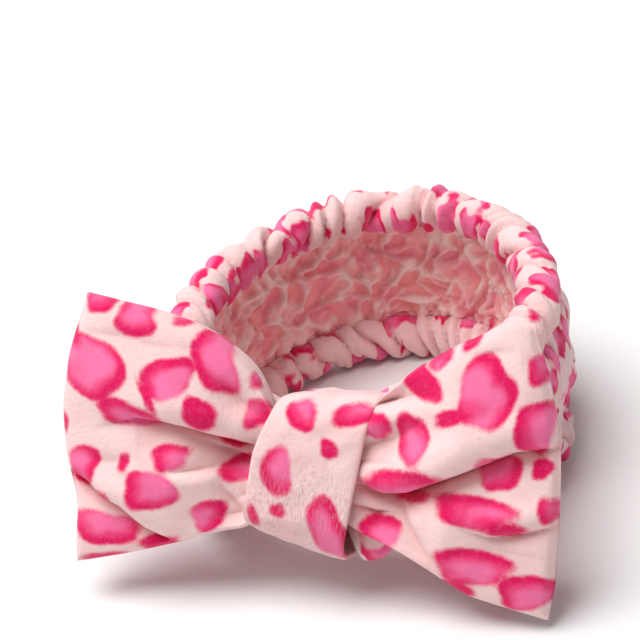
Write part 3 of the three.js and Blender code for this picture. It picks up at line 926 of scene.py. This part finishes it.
def pressFold(away, up, out, height, fold):
    # draws a crease into the cloth, with a lip that bulges over it, and says how deep in it the cloth
    # is, for painted shade in the crease
    gap, share = nearPath(away, height, fold["path"])
    fade = fold.get("fade", "out")
    if fold.get("under"):
        gap = -gap
    if fade == "both":
        strong = np.sin(np.pi * np.clip(share, 0, 1)) ** 0.6
    elif fade == "far":
        strong = smooth(share, 0, 0.5)
    else:
        strong = 1 - (0.4 if fade == "little" else 1) * smooth(share, 0.35, 1)
    w = fold["width"]
    crease = np.exp(-np.where(gap > 0, gap / (0.7 * w), -gap / (2 * w)))
    lipAt = np.exp(-(((gap - 2.2 * w) / (1.9 * w)) ** 2))
    out = out - fold["depth"] * strong * crease + fold["lip"] * strong * lipAt
    if "far" in fold:  # the cloth beyond stays back for some way
        out = out - 0.35 * fold["depth"] * strong * np.where(gap < 0, np.exp(gap / fold["far"]), 0)
    hang = fold.get("over", 0) * strong * np.exp(-(((gap - 1.1 * w) / (1.2 * w)) ** 2))
    up = up + (hang if fold.get("under") else -hang)
    near = np.exp(-np.where(gap > 0, gap / (0.5 * w), -gap / (1.5 * w)))
    return up, out, strong * near * min(1, fold["depth"] / 9)


def wingOutline(shape, columns, rows):
    # how far out and up each point of the wing is, half its thickness, and how free it is to fold
    u = (np.linspace(0, 1, columns) ** 0.93)[:, None]
    even = np.linspace(-1, 1, rows)[None, :]
    v = np.sin(even * np.pi / 2 * 0.97)
    v = 0.72 * even + 0.28 * v / np.abs(v).max()
    low, high = shape["bottom"][-1][1], shape["top"][-1][1]
    away = u * softened(shape["end"], low + (high - low) * (v + 1) / 2, 8)
    top = softened(shape["top"], away)
    bottom = softened(shape["bottom"], away)
    up = bottom + (top - bottom) * (v + 1) / 2
    full = smooth(away, 14, 58)
    middle = bow["waist"] + (shape["crown"] - bow["waist"]) * full
    ends = np.sqrt(np.clip(1 - u**6, 0, 1))
    sides = 1 - full * (1 - np.sqrt(1 - np.abs(v) ** 3.2))
    depth = bow["seam"] + (middle - bow["seam"]) * ends * sides
    depth = depth * (1 - 0.7 * smooth(np.abs(v), 0.96, 1)) * (1 - 0.7 * smooth(u, 0.975, 1))
    loose = smooth(away, bow["insideKnot"] - 6, bow["insideKnot"] + 12) * ends * (1 - np.abs(v) ** 8)
    return away, up, depth, loose


def wingGrid(label, columns, rows):
    # points of a closed padded form, across x round: front rows upwards, then back rows down
    shape = bow[label]
    side = shape["side"]
    away, up, depth, loose = wingOutline(shape, columns, rows)
    places = np.stack([away, up, 0 * up], -1)
    soft = 1.5 * ripple(71 + side, places, 46) + 0.55 * ripple(73 + side, places, 17)
    radialPhase = np.arctan2(up, away + 10) * 11 + 0.6 * ripple(76 + side, places, 50)
    radial = np.abs(np.sin(radialPhase)) ** 0.6 - 0.7  # small pleats that run out from the knot
    soft = soft + 1.6 * radial * (1 - smooth(away, 26, 52))
    # front: each fold in turn
    frontUp, frontOut, deep = up, depth + soft * loose, 0 * up
    hold = np.clip(loose * 1.3, 0.16, 1)
    for fold in shape["folds"]:
        newUp, newOut, newFoldShade = pressFold(away, frontUp, frontOut, up, fold)
        deep = np.maximum(deep, newFoldShade)
        frontUp = frontUp + (newUp - frontUp) * hold
        frontOut = frontOut + (newOut - frontOut) * hold
    frontOut = np.maximum(frontOut, 0.4 - 0.5 * depth)
    # back: pleats that run out from the knot and die away
    fan = np.arctan2(up - 2, away + 6)
    pleats = np.abs(np.sin(fan * 7.5 + 0.7 * ripple(75 + side, places, 40))) ** 0.7 - 0.6
    backOut = -depth - (3.4 * pleats * (1 - smooth(away, 30, 84)) + soft * 0.8) * loose * 0.9
    backOut = np.minimum(backOut, -0.8 * np.minimum(depth, bow["seam"]))
    # painted shade in the hollows between the back pleats near the knot
    backPleatShade = smooth(-pleats, 0.1, 0.5) * (1 - smooth(away, 30, 70)) * 0.5

    def closed(ups, outs, backOuts):
        front = np.stack([side * away, ups, outs], -1)
        back = np.stack([side * away, up, backOuts], -1)
        return np.concatenate([front, back[:, ::-1]], 1)

    unfolded = closed(up, 1 + 0 * up, -1 + 0 * up)  # where each point is on the cloth, and which face
    return closed(frontUp, frontOut, backOut), unfolded, np.concatenate([deep, backPleatShade[:, ::-1]], 1)


def wingFaces(columns, rows):
    # the sides, then the closed root and tip
    loop = 2 * rows
    faces = gridFaces(columns, loop, closeRows=True)
    for start, flip in ((0, False), ((columns - 1) * loop, True)):
        for j in range(rows - 1):
            face = [start + j, start + j + 1, start + loop - 2 - j, start + loop - 1 - j]
            faces.append(face if flip else face[::-1])
    return faces


def makeWing(label):
    columns, rows = 104, 112
    grid, unfolded, deep = wingGrid(label, columns, rows)
    points = inBow(grid[..., 0], grid[..., 1], grid[..., 2])
    faces = wingFaces(columns, rows)
    if bow[label]["side"] > 0:
        faces = [face[::-1] for face in faces]
    front = unfolded[..., 2] > 0
    painted = paintSpots(unfolded[..., 0], unfolded[..., 1], bowSpots[label], 81)
    reverse = scatterSpots(83 + bow[label]["side"], 112, 130, 24, large=22, wraps=False)
    sideways = bow[label]["side"] * unfolded[..., 0]
    other = paintSpots(sideways, unfolded[..., 1], reverse, 84)
    fields = {k: np.where(front, painted[k], other[k]) for k in painted}
    # painted shade: colour darkened deep in the front's creases and between the back pleats
    fields["deep"] = deep
    piece = meshPiece(label + "_wing", points, faces, plushCloth, fields)
    nodes = [f"{label}_wing_{part}" for part in ("front", "back", "wadding")]
    if label == "left":
        nodes.append("bow_waist")
    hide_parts(*nodes)
    x = bow[label]["side"] * mm
    17 * x
    42 * x
    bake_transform(piece)
    return piece


for label in ("left", "right"):
    makeWing(label)
print("bow")

# ---- the knot

knot = {
    "shear": 0.21,  # its top leans to the right
    "drop": -0.3,  # its lower edge runs down to the right
    "down": -2.6,
    "tall": 0.9,
    "wall": 2.6,
    "corner": 15,
    "narrow": 0.06,
    "width": 44,
    "columns": 230,
    "shoulder": (3.8, 1.6),  # how far its top left corner is drawn in, and down
}
knotSpots = [
    (-1, 21, 13, 12, 10, -110), (21, 22, 17, 9, 14, -120), (-11, -2, 12, 21, 8, 200),
    (11, 8, 7, 8, 0, None), (-11, -18, 6, 6, 0, None), (-22, -21, 5, 8, 15, None),
    (10, -25, 16, 25, 20, 60),
]


def roundedLoop(halfOut, halfUp, corner, count):
    # points evenly spaced round a rounded rectangle, from the middle of its front going up
    turn = np.linspace(0, np.pi / 2, 12)
    centres = [(1, 1, 0), (-1, 1, 1), (-1, -1, 2), (1, -1, 3)]
    line = [(halfOut, 0)]
    for sideOut, sideUp, quarter in centres:
        for a in turn + quarter * np.pi / 2:
            line.append((sideOut * (halfOut - corner) + corner * math.cos(a),
                         sideUp * (halfUp - corner) + corner * math.sin(a)))
    line = np.array(line + [(halfOut, 0)])
    run = np.concatenate([[0], np.cumsum(np.hypot(*np.diff(line, axis=0).T))])
    at = np.arange(count) / count * run[-1]
    return np.interp(at, run, line[:, 0]), np.interp(at, run, line[:, 1]), at, run[-1]


def knotSection():
    # across the strip: outer face, rounded edge, inner face, rounded edge; and how deep each point is
    half, wall = knot["width"] / 2, knot["wall"]
    outer = np.linspace(-half + 1, half - 1, 46)
    turn = np.radians(np.linspace(90, -90, 7)[1:-1])
    edge = half - 1 + 1.5 * np.cos(turn)
    edgeDeep = wall / 2 * (1 - np.sin(turn))
    inner = np.linspace(half - 1, -half + 1, 12)
    x = np.concatenate([outer, edge, inner, -edge[::-1]])
    deep = np.concatenate([0 * outer, edgeDeep, 0 * inner + wall, edgeDeep[::-1]])
    return x[None, :], deep[None, :]


def makeKnot():
    cad = np.array([v.co for v in frame["nodes"]["knot_wrap"].data.vertices]) / mm
    _, cadUp, cadOut = fromBow(cad)
    halfOut, halfUp = np.ptp(cadOut) / 2, np.ptp(cadUp) / 2
    middleOut = (cadOut.max() + cadOut.min()) / 2
    columns = knot["columns"]
    out, up, run, length = roundedLoop(halfOut, halfUp, knot["corner"], columns)
    gapOut, gapUp = np.roll(out, -1) - np.roll(out, 1), np.roll(up, -1) - np.roll(up, 1)
    size = np.hypot(gapOut, gapUp)
    wayOut, wayUp = gapUp / size, -gapOut / size
    out, up, run, wayOut, wayUp = (v[:, None] for v in (out, up, run, wayOut, wayUp))
    x, deep = knotSection()
    places = np.stack(np.broadcast_arrays(x, up, out), -1)
    onFace = np.clip(1 - (x / (knot["width"] / 2)) ** 4, 0, 1)
    puff = 0.9 * onFace + 0.55 * ripple(91, places, 26) + 0.25 * ripple(92, places, 9) * onFace
    # creases where the strip turns over the top and under the bottom
    squeeze = np.exp(-(((np.abs(up) - halfUp + 9) / 7) ** 2)) * smooth(out, 2, 14)
    puff = puff - 0.8 * squeeze * np.abs(np.sin(x / 7.5 + 0.8 * ripple(93, places, 20))) ** 2
    grow = puff - deep
    realOut = middleOut + out + wayOut * grow
    realUp = (up + wayUp * grow) * knot["tall"] + knot["down"]
    # it leans, and its lower edge and its top left corner run down
    across = x * (1 + knot["narrow"] * up / halfUp) + knot["shear"] * realUp
    realUp = realUp + knot["drop"] * x * smooth(-up, -20, halfUp)
    shoulder = smooth(-x, 2, 22) * smooth(up, 4, halfUp)
    across = across + knot["shoulder"][0] * shoulder
    realUp = realUp - knot["shoulder"][1] * shoulder
    painted = paintSpots(across, realUp, knotSpots, 95)
    around = scatterSpots(96, length, 60, 22, large=19)
    other = paintSpots(run + 0 * x, x + 0 * run, around, 97)
    fields = {k: np.where(out > 0, painted[k], other[k]) for k in painted}
    # painted shade: colour darkened at the creases where the strip turns and over the inner face of the
    # wrap
    fields["deep"] = 0.3 * squeeze + 0.5 * (deep > 0.3)
    # painted shade mask: the brushed, streaked pile on the knot's lower part
    fields["brushedPileShade"] = smooth(-realUp - 0.25 * x + 6 * ripple(98, places, 16), -8, 14)
    faces = gridFaces(columns, x.shape[1], closeColumns=True, closeRows=True)
    piece = meshPiece("knot", inBow(across, realUp, realOut), faces, plushCloth, fields)
    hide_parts("knot_wrap")
    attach(piece, "root")
    return middleOut - halfOut, halfUp


knotBack, knotHalf = makeKnot()


slipStitch = {"count": 11, "share": 0.62, "across": 1.5, "behind": 0.9, "thread": 0.38}


def knotStitches(c):
    # slip stitches that close the wrap behind the band
    out = np.array(knotBack - c["behind"])
    ends = []
    for up in np.linspace(-1, 1, c["count"]) * knotHalf * c["share"]:
        middle = knot["shear"] * up
        a = inBow(np.array(middle - c["across"]), np.array(up - 0.7), out)
        b = inBow(np.array(middle + c["across"]), np.array(up + 0.9), out)
        ends.append((a, b, -bowOut))
    piece = stitchRow("knot_stitches", ends, pinkThread, radius=c["thread"])
    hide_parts("knot_seam_thread")
    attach(piece, "root")


gathering = {
    "turns": 4,
    "perTurn": 60,
    "sides": 6,
    "radius": 0.45,
    "width": 4.4,
    "halfUp": 20,
    "corner": 5,
}


def gatheringThread(c):
    # turns of thread drawn tight round the bow's waist, under the knot
    sides, radius = c["sides"], c["radius"]
    steps = np.arange(c["turns"] * c["perTurn"] + 1)
    onLoop = steps % c["perTurn"]
    out, up, _, _ = roundedLoop(bow["waist"] + 0.3, c["halfUp"], c["corner"], c["perTurn"])
    centre = np.stack([(steps / steps[-1] - 0.5) * c["width"], up[onLoop], out[onLoop]], -1)
    way = np.gradient(centre, axis=0)
    way /= np.linalg.norm(way, axis=1)[:, None]
    side = np.cross(way, [1.0, 0, 0])
    turn = np.arange(sides) / sides * 2 * np.pi
    around = np.cos(turn)[:, None] * side[:, None] + np.sin(turn)[:, None] * np.array([1.0, 0, 0])
    thread = centre[:, None] + radius * around
    points = inBow(thread[..., 0], thread[..., 1], thread[..., 2])
    faces = gridFaces(len(steps), sides, closeRows=True)
    faces.append(list(range(sides)))
    faces.append([(len(steps) - 1) * sides + k for k in range(sides)][::-1])
    piece = meshPiece("gathering_turns", points, faces, pinkThread)
    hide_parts("gathering_thread")
    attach(piece, "root")


knotStitches(slipStitch)
gatheringThread(gathering)
print("knot")

# ---- floor

floorSet = {
    "reach": 3000,
    "level": -0.0006,  # metres, just under the cloth
    "pale": tint(0.81, 0.81, 0.81),
    "grain": tint(0.79, 0.79, 0.79),
}


def makeFloor(c):
    f = Finish("pale_floor", Roughness=0.85)
    f.feed(Base_Color=f.mix(f.noise(40, detail=2), c["grain"], c["pale"]))
    corners = np.array([[-1, -1, 0], [1, -1, 0], [1, 1, 0], [-1, 1, 0]]) * float(c["reach"])
    floor = meshPiece("floor", corners, [[0, 1, 2, 3]], f.material)
    floor.location.z = c["level"]


makeFloor(floorSet)
print("floor")

print("done")
